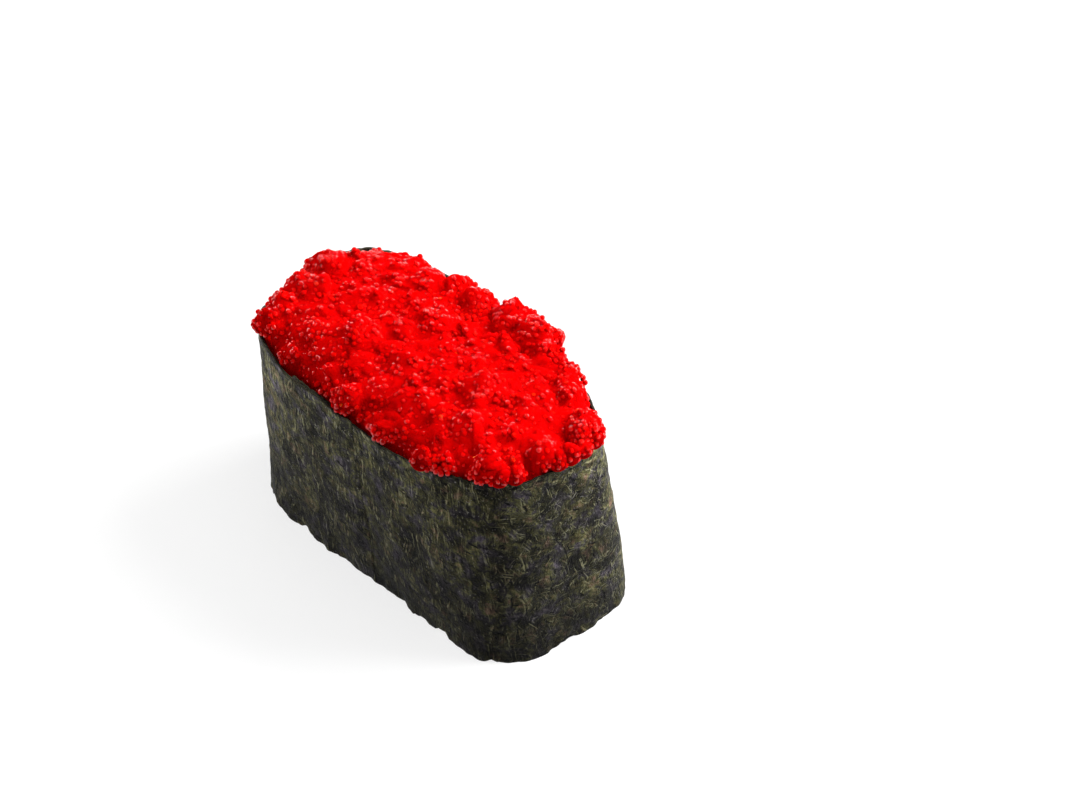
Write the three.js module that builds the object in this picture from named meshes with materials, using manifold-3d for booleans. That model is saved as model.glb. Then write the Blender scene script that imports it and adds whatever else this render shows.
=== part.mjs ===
// Gunkan sushi: pressed rice, wrapped upright in a strip of nori and topped with a heap of flying fish roe.
// Millimetres, +Z up. The origin is on the ground under the middle of the piece. +X runs along its length.
import * as THREE from 'three';
import { mergeVertices } from 'three/addons/utils/BufferGeometryUtils.js';
import Module from 'manifold-3d';

const wasm = await Module();
wasm.setup();

// ---- Driving dimensions ----

// The wall's outline at the ground and at the rim.
const GROUND = {
  x: 0.38,
  y: 0.58,
  halfLength: 25.0,
  halfWidth: 14.4,
  squareness: 3.3, // 2 is an ellipse, and more is closer to a rectangle
  sharpening: 1.4, // squarer at the corner at +X -Y, and rounder at the one across from it
  taper: -0.04, // narrower towards +X where negative
  bow: -1.2, // of both long sides, towards +Y in their middle where negative
};
const RIM = {
  x: -1.22,
  y: -1.22,
  halfLength: 24.3,
  halfWidth: 13.5,
  squareness: 3.0,
  sharpening: 0,
  taper: -0.07,
  bow: 1.2,
};
const BAND_HEIGHT = 26.2;

// The strip of nori starts under its own flap, goes once round, and ends on the middle of the front.
const NORI = {
  thickness: 0.3,
  layerGap: 0.15, // between the flap and the layer below it
  seamAngle: THREE.MathUtils.degToRad(-86),
  steps: 92, // round one turn
  flapSteps: 8, // of the turn that lie twice
  settleSteps: 5, // over which the inner layer comes out to the surface, past the flap
  rows: 4, // up the wall
  buckle: 0.22, // in and out
  rimWave: 0.3, // up and down
  dip: { angle: THREE.MathUtils.degToRad(201), width: THREE.MathUtils.degToRad(17), depth: 1.1 }, // of the rim
  flapRise: 0.4, // of the flap's end above the layer below it
  rag: 0.5, // of the bottom edge, above the ground
};

const CLEARANCE = 0.3; // between the rice, the roe and the nori

const RICE = {
  top: 17.4,
  coreBottom: 0.85,
  coreInset: 0.25, // behind the outermost grains
  grain: { halfLength: 2.9, halfWidth: 1.4, halfHeight: 1.15 },
  raised: 0.3, // the most that a grain's flat underside lies above the ground
  grains: 56,
  apart: 3.8,
};

// A box in plan that is a little larger than the whole piece.
const FIELD = { halfLength: 28, halfWidth: 17 };

const ROE = {
  bottom: RICE.top + CLEARANCE,
  grain: 0.85, // diameter
  edgeDrop: 0.9, // of the heap's edge below the rim
  rise: 4.4, // of the even heap, from its edge to its middle
  reach: 2.3, // in from the edge, for most of that rise
  // Along one stretch of the edge the heap stands back from the nori.
  gap: { angle: THREE.MathUtils.degToRad(-97), width: THREE.MathUtils.degToRad(26), drop: 1.3, reach: 1.4 },
  overhang: 1.6, // past the band's outside, where the heap spills over it
  pitch: 1.17, // between the bumps of the relief
  bump: 0.3,
  looseGrains: 34,
};

// The heap's main lumps: x, y, height of the top, radius.
const LUMPS = [
  [-18.9, -11.3, 29.0, 2.4],
  [-19.3, -8.9, 29.6, 2.8],
  [-19.7, -4.7, 30.3, 3.3],
  [-21.7, -0.5, 30.1, 3.1],
  [-17.8, 2.4, 29.8, 3.4],
  [-14.5, -8.9, 29.6, 3.6],
  [-14.1, -1.7, 30.2, 4.2],
  [-15.5, 5.3, 29.5, 3.4],
  [-8.1, -6.5, 31.0, 3.9],
  [-10.7, 6.9, 29.8, 3.8],
  [-4.5, 2.1, 30.3, 4.6],
  [-8.7, 9.3, 29.5, 2.8],
  [-4.5, 9.5, 30.0, 3.2],
  [1.5, 10.4, 30.6, 3.2],
  [5.1, 10.5, 30.7, 3.2],
  [8.9, 8.7, 30.3, 3.2],
  [-0.9, -5.3, 30.6, 3.6],
  [3.3, 0.9, 30.2, 4.0],
  [9.3, -1.3, 30.9, 3.8],
  [5.9, -7.5, 30.2, 3.3],
  [6.5, -11.2, 28.9, 2.7],
  [14.5, 6.7, 29.9, 3.2],
  [14.7, 0.3, 30.1, 3.4],
  [21.1, 4.3, 29.4, 2.7],
  [20.3, -2.1, 29.2, 2.9],
  [18.5, -8.5, 28.9, 3.0],
  [12.7, -6.7, 30.0, 3.3],
  [13.9, -11.9, 28.4, 2.4],
  [-5.7, -13.1, 27.8, 2.0],
  [5.1, -13.0, 27.8, 1.9],
  [-12.9, -12.5, 27.9, 2.2],
  [-23.4, -1.4, 28.7, 1.7],
  [-22.4, 2.0, 29.3, 2.0],
  [-21.3, 4.4, 28.8, 1.7],
  [-15.0, 8.2, 29.4, 2.0],
  [5.8, 11.6, 30.0, 2.2],
  [12.7, 9.1, 29.2, 2.3],
];

// Small lumps that hang over the rim: the angle on its outline in degrees, and how far in from it.
const SPILLS = {
  top: 28.5,
  radius: 1.4,
  places: [[-3, 0.4], [5, 0.2], [14, 0], [23, 0], [268, 2.3], [281, 1.9], [300, 0.2], [325, 0.6], [332, 0.8]],
};

// Smaller lumps are scattered over the main ones, and stand proud of what is there already.
const CLUMPS = [
  { count: 80, radius: [1.7, 2.6], proud: [0.3, 0.8], apart: 3.0 },
  { count: 200, radius: [0.9, 1.4], proud: [0.2, 0.4], apart: 1.8 },
];

// ---- Random numbers and noise, the same in every run ----

function randomFrom(seed) {
  let state = seed;
  return () => {
    state = (state * 1664525 + 1013904223) % 4294967296;
    return state / 4294967296;
  };
}

function between(random, [low, high]) {
  return low + (high - low) * random();
}

// A smooth wave between -1 and 1 for each step round the wall, through `count` random values in a turn.
function waveRound(seed, count) {
  const random = randomFrom(seed);
  const values = Array.from({ length: count }, () => 2 * random() - 1);
  const value = (i) => values[((i % count) + count) % count];
  return (step) => {
    const place = (count * step) / NORI.steps;
    const low = Math.floor(place);
    const share = THREE.MathUtils.smootherstep(place - low, 0, 1);
    return THREE.MathUtils.lerp(value(low), value(low + 1), share);
  };
}

// ---- The wall's outline ----

// The point at an angle on a unit outline of the given squareness.
function unitPoint(shape, angle) {
  const squareness = shape.squareness + shape.sharpening * Math.cos(angle + Math.PI / 4);
  const across = Math.abs(Math.cos(angle)) ** squareness;
  const along = Math.abs(Math.sin(angle)) ** squareness;
  const reach = (across + along) ** (-1 / squareness);
  return new THREE.Vector2(reach * Math.cos(angle), reach * Math.sin(angle));
}

function outlinePoint(shape, angle) {
  const unit = unitPoint(shape, angle);
  const width = shape.halfWidth * (1 + shape.taper * unit.x);
  return new THREE.Vector2(
    shape.x + shape.halfLength * unit.x,
    shape.y + width * unit.y + shape.bow * (unit.x ** 2 - 0.5),
  );
}

// The wall is straight from the ground's outline to the rim's.
function wallPoint(angle, z) {
  return outlinePoint(GROUND, angle).lerp(outlinePoint(RIM, angle), z / BAND_HEIGHT);
}

// A point at a height, moved in from the wall's outer face.
function insetPoint(angle, z, inset) {
  const ahead = wallPoint(angle + 0.01, z);
  const behind = wallPoint(angle - 0.01, z);
  const along = ahead.sub(behind).normalize();
  const point = wallPoint(angle, z);
  return new THREE.Vector3(point.x - along.y * inset, point.y + along.x * inset, z);
}

// Angles at equal distances round the wall, from the seam.
function evenAngles(count) {
  const fine = 3600;
  const lengths = [0];
  for (let i = 1; i <= fine; i++) {
    const here = wallPoint(NORI.seamAngle + (2 * Math.PI * i) / fine, BAND_HEIGHT / 2);
    const last = wallPoint(NORI.seamAngle + (2 * Math.PI * (i - 1)) / fine, BAND_HEIGHT / 2);
    lengths.push(lengths[i - 1] + here.distanceTo(last));
  }
  return Array.from({ length: count }, (_, step) => {
    const wanted = (lengths[fine] * step) / count;
    const found = lengths.findIndex((length) => length >= wanted);
    return NORI.seamAngle + (2 * Math.PI * found) / fine;
  });
}

const turn = evenAngles(NORI.steps);

// The angle of a step counted from the seam, before it or past a whole turn too.
function angleAt(step) {
  const turns = Math.floor(step / NORI.steps);
  return turn[step - turns * NORI.steps] + 2 * Math.PI * turns;
}

// How far in the innermost layer lies at a step from the seam: below the flap, and just past it.
function lapInset(step) {
  const lap = NORI.thickness + NORI.layerGap;
  if (step >= NORI.steps - NORI.flapSteps) return lap;
  return lap * (1 - THREE.MathUtils.smoothstep(step, 0, NORI.settleSteps));
}

const rimWave = waveRound(3, 16);
const ragWave = waveRound(5, 40);
const buckleWaves = Array.from({ length: NORI.rows + 1 }, (_, row) => waveRound(7 + row, 30));

function rimHeight(step) {
  const away = (angleAt(step) - NORI.dip.angle) / NORI.dip.width;
  return BAND_HEIGHT + NORI.rimWave * rimWave(step) - NORI.dip.depth * Math.exp(-(away ** 2));
}

// ---- Solids ----

function meshOf(name, geometry, color, roughness) {
  const material = new THREE.MeshStandardMaterial({ color, roughness, metalness: 0 });
  const mesh = new THREE.Mesh(geometry, material);
  mesh.name = name;
  return mesh;
}

function geometryFrom(points, triangles) {
  const geometry = new THREE.BufferGeometry().setFromPoints(points);
  geometry.setIndex(triangles);
  return geometry;
}

function solidFrom(points, triangles) {
  const vertProperties = new Float32Array(points.flatMap((point) => point.toArray()));
  const triVerts = new Uint32Array(triangles);
  return new wasm.Manifold(new wasm.Mesh({ numProp: 3, vertProperties, triVerts }));
}

// The largest connected piece of a solid, without the scraps that a cut leaves.
function largestPiece(solid) {
  const larger = (best, piece) => (piece.volume() > best.volume() ? piece : best);
  return solid.decompose().reduce(larger);
}

function geometryOf(solid) {
  const { vertProperties, triVerts } = solid.getMesh();
  const geometry = new THREE.BufferGeometry();
  geometry.setAttribute('position', new THREE.BufferAttribute(vertProperties, 3));
  geometry.setIndex(new THREE.BufferAttribute(triVerts, 1));
  return geometry;
}

// A solid through rings with equally many points, listed upwards, each anticlockwise from above.
function loft(rings) {
  const size = rings[0].length;
  const triangles = [];
  for (let r = 0; r + 1 < rings.length; r++) {
    for (let i = 0; i < size; i++) {
      const low = r * size + i;
      const next = r * size + ((i + 1) % size);
      triangles.push(low, next, next + size, low, next + size, low + size);
    }
  }
  const cap = (ring, first, up) => {
    const contour = ring.map((point) => new THREE.Vector2(point.x, point.y));
    for (const [a, b, c] of THREE.ShapeUtils.triangulateShape(contour, [])) {
      triangles.push(first + a, first + (up ? b : c), first + (up ? c : b));
    }
  };
  cap(rings[0], 0, false);
  cap(rings[rings.length - 1], (rings.length - 1) * size, true);
  return solidFrom(rings.flat(), triangles);
}

// One ring for each step of a turn, clear of the nori's inner face.
function innerRing(heightAt, extraInset = 0) {
  return turn.map((angle, step) => {
    const inset = lapInset(step) + NORI.thickness + CLEARANCE + NORI.buckle + extraInset;
    return insetPoint(angle, heightAt(step), inset);
  });
}

// ---- Nori ----

// The strip runs from its end below the flap to the flap's own end.
function noriStrip() {
  const first = -NORI.flapSteps;
  const last = NORI.steps;
  const points = [];
  for (let step = first; step <= last; step++) {
    const flap = Math.max(0, (step - last + NORI.flapSteps) / NORI.flapSteps);
    const turnStep = (step + NORI.steps) % NORI.steps;
    const inset = step < NORI.settleSteps ? lapInset(turnStep) : 0;
    const top = rimHeight(step) + NORI.flapRise * flap;
    const bottom = NORI.rag * Math.max(0, ragWave(step));
    for (let row = 0; row <= NORI.rows; row++) {
      const z = THREE.MathUtils.lerp(bottom, top, row / NORI.rows);
      const outerInset = inset + NORI.buckle * buckleWaves[row](step);
      points.push(insetPoint(angleAt(step), z, outerInset));
      points.push(insetPoint(angleAt(step), z, outerInset + NORI.thickness));
    }
  }
  return geometryFrom(points, stripTriangles(last - first, NORI.rows));
}

function stripTriangles(steps, rows) {
  const triangles = [];
  const quad = (a, b, c, d) => triangles.push(a, b, c, a, c, d);
  const outer = (step, row) => 2 * (step * (rows + 1) + row);
  const inner = (step, row) => outer(step, row) + 1;
  for (let i = 0; i < steps; i++) {
    for (let j = 0; j < rows; j++) {
      quad(outer(i, j), outer(i + 1, j), outer(i + 1, j + 1), outer(i, j + 1));
      quad(inner(i, j), inner(i, j + 1), inner(i + 1, j + 1), inner(i + 1, j));
    }
    quad(outer(i, 0), inner(i, 0), inner(i + 1, 0), outer(i + 1, 0));
    quad(outer(i, rows), outer(i + 1, rows), inner(i + 1, rows), inner(i, rows));
  }
  for (let j = 0; j < rows; j++) {
    quad(outer(0, j), outer(0, j + 1), inner(0, j + 1), inner(0, j));
    quad(outer(steps, j), inner(steps, j), inner(steps, j + 1), outer(steps, j + 1));
  }
  return triangles;
}

// ---- Rice ----

// A grain with six long sides. The lowest one is flat, and lies `raised` above the ground.
function riceGrain(x, y, heading, raised) {
  const { halfLength, halfWidth, halfHeight } = RICE.grain;
  const grain = new THREE.SphereGeometry(1, 6, 3);
  grain.scale(halfWidth, halfLength, halfHeight);
  grain.computeBoundingBox();
  grain.rotateZ(heading);
  grain.translate(x, y, raised - grain.boundingBox.min.z);
  return grain;
}

function solidOf(geometry) {
  geometry.deleteAttribute('normal');
  geometry.deleteAttribute('uv');
  const merged = mergeVertices(geometry, 1e-4);
  const vertProperties = merged.attributes.position.array;
  const triVerts = new Uint32Array(merged.index.array);
  return new wasm.Manifold(new wasm.Mesh({ numProp: 3, vertProperties, triVerts }));
}

// Places spread over the field, none closer together than `apart`, wherever `fits` allows.
function spread(random, count, apart, fits) {
  const places = [];
  for (let tries = 0; places.length < count && tries < 60 * count; tries++) {
    const x = FIELD.halfLength * (2 * random() - 1);
    const y = FIELD.halfWidth * (2 * random() - 1);
    const crowded = places.some((place) => Math.hypot(place.x - x, place.y - y) < apart);
    if (!crowded && fits(x, y)) places.push(new THREE.Vector2(x, y));
  }
  return places;
}

// Whole grains stand out of the block's underside. The one in the middle lies flat on the ground.
function riceBlock() {
  const random = randomFrom(21);
  const fits = (x, y) => shareOf(GROUND, x, y) < 0.95 && Math.hypot(x, y) > RICE.apart;
  const places = spread(random, RICE.grains, RICE.apart, fits);
  const grains = [riceGrain(0, 0.3, Math.PI / 2, 0)];
  for (const place of places) {
    const heading = between(random, [0, Math.PI]);
    grains.push(riceGrain(place.x, place.y, heading, between(random, [0, RICE.raised])));
  }
  const core = loft([
    innerRing(() => RICE.coreBottom, RICE.coreInset),
    innerRing(() => RICE.top, RICE.coreInset),
  ]);
  const belowGround = -1;
  const room = loft([innerRing(() => belowGround), innerRing(() => RICE.top)]);
  const block = wasm.Manifold.union([core, ...grains.map(solidOf)]);
  return geometryOf(largestPiece(block.intersect(room)));
}

// ---- Roe ----

// How far out a point is, as a share of the outline's reach in its direction: 1 on the outline.
function shareOf(shape, x, y) {
  const { u, v } = unitPlace(shape, x, y);
  return Math.hypot(u, v) / unitPoint(shape, Math.atan2(v, u)).length();
}

// Where a point lies on the unit outline's own axes.
function unitPlace(shape, x, y) {
  const u = (x - shape.x) / shape.halfLength;
  const v = (y - shape.y - shape.bow * (u ** 2 - 0.5)) / (shape.halfWidth * (1 + shape.taper * u));
  return { u, v };
}

// About how far in from the outline a point lies.
function depthOf(shape, x, y) {
  const small = 0.05;
  const slopeX = (shareOf(shape, x + small, y) - shareOf(shape, x - small, y)) / (2 * small);
  const slopeY = (shareOf(shape, x, y + small) - shareOf(shape, x, y - small)) / (2 * small);
  return (1 - shareOf(shape, x, y)) / Math.max(Math.hypot(slopeX, slopeY), small);
}

// The even heap, before its lumps: steep at the nori, and nearly level in the middle.
function evenHeap(x, y) {
  const depth = depthOf(RIM, x, y) - NORI.thickness;
  const gain = depth > 0 ? 1 - Math.exp(-depth / ROE.reach) : depth / ROE.reach;
  const { u, v } = unitPlace(RIM, x, y);
  const away = (Math.atan2(v, u) - ROE.gap.angle) / ROE.gap.width;
  const gap = ROE.gap.drop * Math.exp(-(away ** 4) - Math.max(0, depth) / ROE.gap.reach);
  return BAND_HEIGHT - ROE.edgeDrop + ROE.rise * gain - gap;
}

function heapHeight(lumps, x, y) {
  let height = evenHeap(x, y);
  for (const lump of lumps) {
    const left = lump.radius ** 2 - (x - lump.x) ** 2 - (y - lump.y) ** 2;
    if (left > 0) height = Math.max(height, lump.z + Math.sqrt(left));
  }
  return height;
}

function heapNormal(lumps, x, y) {
  const small = 0.3;
  const slopeX = (heapHeight(lumps, x + small, y) - heapHeight(lumps, x - small, y)) / (2 * small);
  const slopeY = (heapHeight(lumps, x, y + small) - heapHeight(lumps, x, y - small)) / (2 * small);
  return new THREE.Vector3(-slopeX, -slopeY, 1).normalize();
}

function heapLumps() {
  const random = randomFrom(42);
  let lumps = LUMPS.map(([x, y, top, radius]) => ({ x, y, z: top - radius, radius }));
  for (const [degrees, inset] of SPILLS.places) {
    const { x, y } = insetPoint(THREE.MathUtils.degToRad(degrees), BAND_HEIGHT, inset);
    lumps.push({ x, y, z: SPILLS.top - SPILLS.radius, radius: SPILLS.radius });
  }
  for (const tier of CLUMPS) {
    const places = spread(random, tier.count, tier.apart, (x, y) => shareOf(RIM, x, y) < 0.97);
    const added = places.map(({ x, y }) => {
      const radius = between(random, tier.radius);
      const sunk = between(random, tier.proud) - radius;
      const centre = new THREE.Vector3(x, y, heapHeight(lumps, x, y));
      centre.addScaledVector(heapNormal(lumps, x, y), sunk);
      return { x: centre.x, y: centre.y, z: centre.z, radius };
    });
    lumps = lumps.concat(added);
  }
  return lumps;
}

// A slab whose top follows the heap on a lattice of triangles, with a bump at every third point.
// Below, it closes to one point far under the ground.
function reliefSlab(lumps) {
  const random = randomFrom(77);
  const side = ROE.pitch / Math.sqrt(3);
  const rowHeight = side * Math.sqrt(0.75);
  const columns = Math.round((2 * FIELD.halfLength) / side);
  const rows = Math.round((2 * FIELD.halfWidth) / rowHeight);
  const jitter = () => between(random, [-0.1, 0.1]) * side;
  const points = [];
  const triangles = [];
  for (let j = 0; j <= rows; j++) {
    for (let i = 0; i <= columns; i++) {
      const x = (i + (j % 2) / 2 - columns / 2) * side + jitter();
      const y = (j - rows / 2) * rowHeight + jitter();
      const raised = (((i - Math.floor(j / 2) - j) % 3) + 3) % 3 === 0;
      const proud = raised ? between(random, [0.5, 1]) * ROE.bump : 0;
      points.push(new THREE.Vector3(x, y, heapHeight(lumps, x, y) + proud));
      if (i < columns && j < rows) {
        const here = j * (columns + 1) + i;
        const above = here + columns + 1;
        if (j % 2) triangles.push(here, above + 1, above, here, here + 1, above + 1);
        else triangles.push(here, here + 1, above, here + 1, above + 1, above);
      }
    }
  }
  closeBelow(points, triangles, new THREE.Vector3(0, 0, -80));
  return solidFrom(points, triangles);
}

// Joins each open edge to one point below, so that the surface becomes a closed solid.
function closeBelow(points, triangles, lowest) {
  const edges = new Set();
  const key = (from, to) => from * points.length + to;
  const each = (visit) => {
    for (let i = 0; i < triangles.length; i += 3) {
      const corners = triangles.slice(i, i + 3);
      corners.forEach((from, k) => visit(from, corners[(k + 1) % 3]));
    }
  };
  each((from, to) => edges.add(key(from, to)));
  const open = [];
  each((from, to) => {
    if (!edges.has(key(to, from))) open.push([to, from]);
  });
  const apex = points.length;
  points.push(lowest);
  for (const [from, to] of open) triangles.push(from, to, apex);
}

// Single grains on the heap, three in five of them near its edge.
function looseGrains(lumps) {
  const random = randomFrom(91);
  const nearEdge = [0.86, 0.97];
  return Array.from({ length: ROE.looseGrains }, (_, i) => {
    const share = i % 5 < 3 ? between(random, nearEdge) : nearEdge[0] * Math.sqrt(random());
    const edge = outlinePoint(RIM, between(random, [0, 2 * Math.PI]));
    const x = THREE.MathUtils.lerp(RIM.x, edge.x, share);
    const y = THREE.MathUtils.lerp(RIM.y, edge.y, share);
    const grain = new THREE.IcosahedronGeometry(ROE.grain / 2, 0);
    grain.rotateZ(between(random, [0, Math.PI]));
    grain.translate(x, y, heapHeight(lumps, x, y) + 0.3 * ROE.grain);
    return solidOf(grain);
  });
}

// The room that the nori leaves: inside the wall, and over the rim.
function roeRoom() {
  const aboveRim = (step) => rimHeight(step) + NORI.flapRise + CLEARANCE;
  const aboveHeap = () => BAND_HEIGHT + 12;
  const outside = (angle, step, heightAt) => insetPoint(angle, heightAt(step), -ROE.overhang);
  return loft([
    innerRing(() => ROE.bottom),
    innerRing(aboveRim),
    turn.map((angle, step) => outside(angle, step, aboveRim)),
    turn.map((angle, step) => outside(angle, step, aboveHeap)),
  ]);
}

function roeHeap() {
  const lumps = heapLumps();
  const heap = wasm.Manifold.union([reliefSlab(lumps), ...looseGrains(lumps)]);
  return geometryOf(largestPiece(heap.intersect(roeRoom())));
}

// ---- The piece ----

const part = new THREE.Group();
part.add(
  meshOf('rice', riceBlock(), 0xf0ece0, 0.6),
  meshOf('nori', noriStrip(), 0x25271c, 0.7),
  meshOf('roe', roeHeap(), 0xe4120c, 0.25),
);

export default part;
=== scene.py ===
"""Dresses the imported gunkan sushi: a crinkled strip of nori, some thousands of single roe eggs in a
translucent mass, and rice with whole grains on its underside. Shapes are worked out in millimetres and
made in metres."""

import math

import bmesh
import bpy
import numpy as np
from mathutils import Matrix, Vector, noise


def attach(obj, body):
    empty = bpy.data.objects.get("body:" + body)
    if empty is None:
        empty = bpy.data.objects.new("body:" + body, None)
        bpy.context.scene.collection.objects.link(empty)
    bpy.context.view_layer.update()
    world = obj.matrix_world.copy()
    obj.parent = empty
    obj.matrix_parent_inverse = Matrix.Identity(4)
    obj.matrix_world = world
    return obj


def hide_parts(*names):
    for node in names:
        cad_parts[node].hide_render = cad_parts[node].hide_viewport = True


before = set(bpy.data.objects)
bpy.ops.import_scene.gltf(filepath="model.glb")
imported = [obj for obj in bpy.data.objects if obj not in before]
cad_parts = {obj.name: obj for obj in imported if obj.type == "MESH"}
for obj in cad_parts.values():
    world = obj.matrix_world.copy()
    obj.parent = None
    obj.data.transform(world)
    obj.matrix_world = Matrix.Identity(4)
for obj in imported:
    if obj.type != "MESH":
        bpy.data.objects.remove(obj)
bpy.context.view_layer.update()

MM = 0.001

# ---- Driving dimensions, in millimetres, as in the part's source ----

# The wall's outline at the ground and at the rim.
GROUND = dict(
    x=0.38, y=0.58, half_length=25.0, half_width=14.4, squareness=3.3, sharpening=1.4, taper=-0.04, bow=-1.2
)
RIM = dict(
    x=-1.22, y=-1.22, half_length=24.3, half_width=13.5, squareness=3.0, sharpening=0.0, taper=-0.07, bow=1.2
)
BAND_HEIGHT = 26.2

SEAM_ANGLE = math.radians(-86)
STEPS = 92  # round one turn of the nori
FLAP_STEPS = 8  # of the turn that lie twice
SETTLE_STEPS = 5  # over which the inner layer comes out to the surface
NORI_THICKNESS = 0.3
LAYER_GAP = 0.15  # between the flap and the layer below it
BUCKLE = 0.22  # of the wall, in and out
BUCKLE_ROWS = 4  # up the wall
RIM_WAVE = 0.3  # up and down
RIM_DIP = dict(angle=math.radians(201), width=math.radians(17), depth=1.1)
FLAP_RISE = 0.4  # of the flap's end above the layer below it
RAG = 0.5  # of the bottom edge, above the ground
CLEARANCE = 0.3  # between the nori and what it holds

RICE_TOP = 17.4
RICE_CORE_BOTTOM = 0.85
RICE_GRAIN = (2.9, 1.4, 1.15)  # half its length, width and height

ROE_BOTTOM = RICE_TOP + CLEARANCE
ROE_EDGE_DROP = 0.9  # of the heap's edge below the rim
ROE_RISE = 4.4  # of the heap from its edge to its middle
ROE_REACH = 2.3  # in from the edge, over which most of that comes
ROE_GAP = dict(angle=math.radians(-97), width=math.radians(26), drop=1.3, reach=1.4)  # between heap and nori
FIELD = (28.0, 17.0)  # half the length and width of a box round the whole piece

# The heap's main lumps: x, y, height of the top, radius.
LUMPS = (
    (-18.9, -11.3, 29.0, 2.4),
    (-19.3, -8.9, 29.6, 2.8),
    (-19.7, -4.7, 30.3, 3.3),
    (-21.7, -0.5, 30.1, 3.1),
    (-17.8, 2.4, 29.8, 3.4),
    (-14.5, -8.9, 29.6, 3.6),
    (-14.1, -1.7, 30.2, 4.2),
    (-15.5, 5.3, 29.5, 3.4),
    (-8.1, -6.5, 31.0, 3.9),
    (-10.7, 6.9, 29.8, 3.8),
    (-4.5, 2.1, 30.3, 4.6),
    (-8.7, 9.3, 29.5, 2.8),
    (-4.5, 9.5, 30.0, 3.2),
    (1.5, 10.4, 30.6, 3.2),
    (5.1, 10.5, 30.7, 3.2),
    (8.9, 8.7, 30.3, 3.2),
    (-0.9, -5.3, 30.6, 3.6),
    (3.3, 0.9, 30.2, 4.0),
    (9.3, -1.3, 30.9, 3.8),
    (5.9, -7.5, 30.2, 3.3),
    (6.5, -11.2, 28.9, 2.7),
    (14.5, 6.7, 29.9, 3.2),
    (14.7, 0.3, 30.1, 3.4),
    (21.1, 4.3, 29.4, 2.7),
    (20.3, -2.1, 29.2, 2.9),
    (18.5, -8.5, 28.9, 3.0),
    (12.7, -6.7, 30.0, 3.3),
    (13.9, -11.9, 28.4, 2.4),
    (-5.7, -13.1, 27.8, 2.0),
    (5.1, -13.0, 27.8, 1.9),
    (-12.9, -12.5, 27.9, 2.2),
    (-23.4, -1.4, 28.7, 1.7),
    (-22.4, 2.0, 29.3, 2.0),
    (-21.3, 4.4, 28.8, 1.7),
    (-15.0, 8.2, 29.4, 2.0),
    (5.8, 11.6, 30.0, 2.2),
    (12.7, 9.1, 29.2, 2.3),
)
# Small lumps that hang over the rim: the angle on its outline in degrees, and how far in from it.
SPILLS = ((-3, 0.4), (5, 0.2), (14, 0), (23, 0), (268, 2.3), (281, 1.9), (300, 0.2), (325, 0.6), (332, 0.8))
SPILL_TOP, SPILL_RADIUS = 28.5, 1.4
CLUMP_FIELD = 0.97  # the share of the rim's outline that clumps fill
# Tiers of clumps that are scattered over the lumps.
CLUMPS = (
    dict(count=80, radius=(1.7, 2.6), proud=(0.3, 0.8), apart=3.0),
    dict(count=200, radius=(0.9, 1.4), proud=(0.2, 0.4), apart=1.8),
    dict(count=420, radius=(0.6, 0.95), proud=(0.05, 0.22), apart=1.15),  # finer than the part's own
)

TRIES_PER_PLACE = 60
SMALLEST = 1e-6  # too small to matter

# ---- Sizes of the fine surface, in millimetres ----

COLUMNS_PER_STEP = 5  # of the nori's mesh
NORI_ROWS = 86
STEP_LENGTH = 1.5  # of a step along the strip, roughly
NORI_FRAY = (0.12, 0.25)  # of its upper and lower edge, over short stretches
NORI_TEAR = 0.4  # of its lower edge, over longer ones
# Its relief, on top of the part's buckles: seed, cells round the wall and up it, and how far it goes.
NORI_RELIEFS = ((33, 120, 24, 0.07), (35, 300, 60, 0.035), (39, 44, 6, 0.10))
NORI_RELIEF_HEIGHT = 28.0
FOOT_CURL, FOOT_HEIGHT = 0.28, 3  # of the lowest part, in and out
FLAP_PRESS, FLAP_THINNING, PRESS_STEPS = 0.42, 0.12, 3  # of the flap's end, onto the layer below
INNER_FACE_SHIFT = (31.0, 7.0, 0.0)  # of the inner face's pattern, so that the two faces differ

RICE_CORE_INSET = -0.2  # closer to the nori than the part's rice, so that no light shows between them
GRAIN_COUNT, GRAIN_APART = 170, 2.35  # the most there are, and their middles' least distance
GRAIN_FIELD = 0.955  # the share of the outline that they fill
GRAIN_SIZE = (0.88, 1.08)  # of one grain, as a share
GRAIN_NARROWING = 0.12  # of its ends
GRAIN_TILT = 0.22  # in radians, either way
GRAIN_MIDDLE = (0.72, 1.15)  # above the ground
GRAIN_DETAIL = 3  # subdivisions of its ball

EGG_RADIUS = (0.34, 0.40)
EGG_STRETCH = (0.93, 1.05)  # along each axis
EGG_SPACING = 0.58  # between the nearest two centres
EGG_DETAIL = 2  # subdivisions of its ball
EGG_FIELD = 1.12  # the share of the rim's outline that eggs are tried in
EGG_LOW, EGG_HIGH = BAND_HEIGHT - 3.4, 33.0
EGG_BATCHES, EGG_TRIES = 12, 120000  # and the places tried in a batch
EGG_SHUFFLE = 0.22  # of the order by depth in which eggs settle
EGG_GAP = 0.1  # to the nori
EGG_WALL_HEIGHT = 24.6  # where the nori's outline is taken for that
SHELL_DEPTH = 0.8  # of the eggs' centres
OUTER_DEPTH = 0.42  # of the centres of the outer eggs
SUNK_INTO, SUNK_LOOSE = 0.75, 0.1  # how deep a centre lies at least, in radii, and a loose egg's
RIM_REST = 0.75  # how far above the rim a centre lies at least where an egg rests on it, in radii
LOOSE_SHARE = 0.008  # of the places tried, where an egg may be loose
RIM_SHADE_BELOW, RIM_SHADE_REACH = 2.2, 2.4  # above the rim where painted shade on the roe starts, and over what height
OWN_SHADE = 0.06  # how much an egg's shade follows its own shape, against the heap's
WET_CHANCE = (-1.3, 1.0)  # how wet an egg is in a hollow
WET_CREST = 1.1  # and how much wetter on a crest
JELLY_DEPTH = (-0.04, 0.12)  # of the mass between the eggs, below the smoothed heap, from hollow to crest
JELLY_LEAST, JELLY_MOST = 0.05, 0.13  # its depth below the lumps themselves
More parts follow.
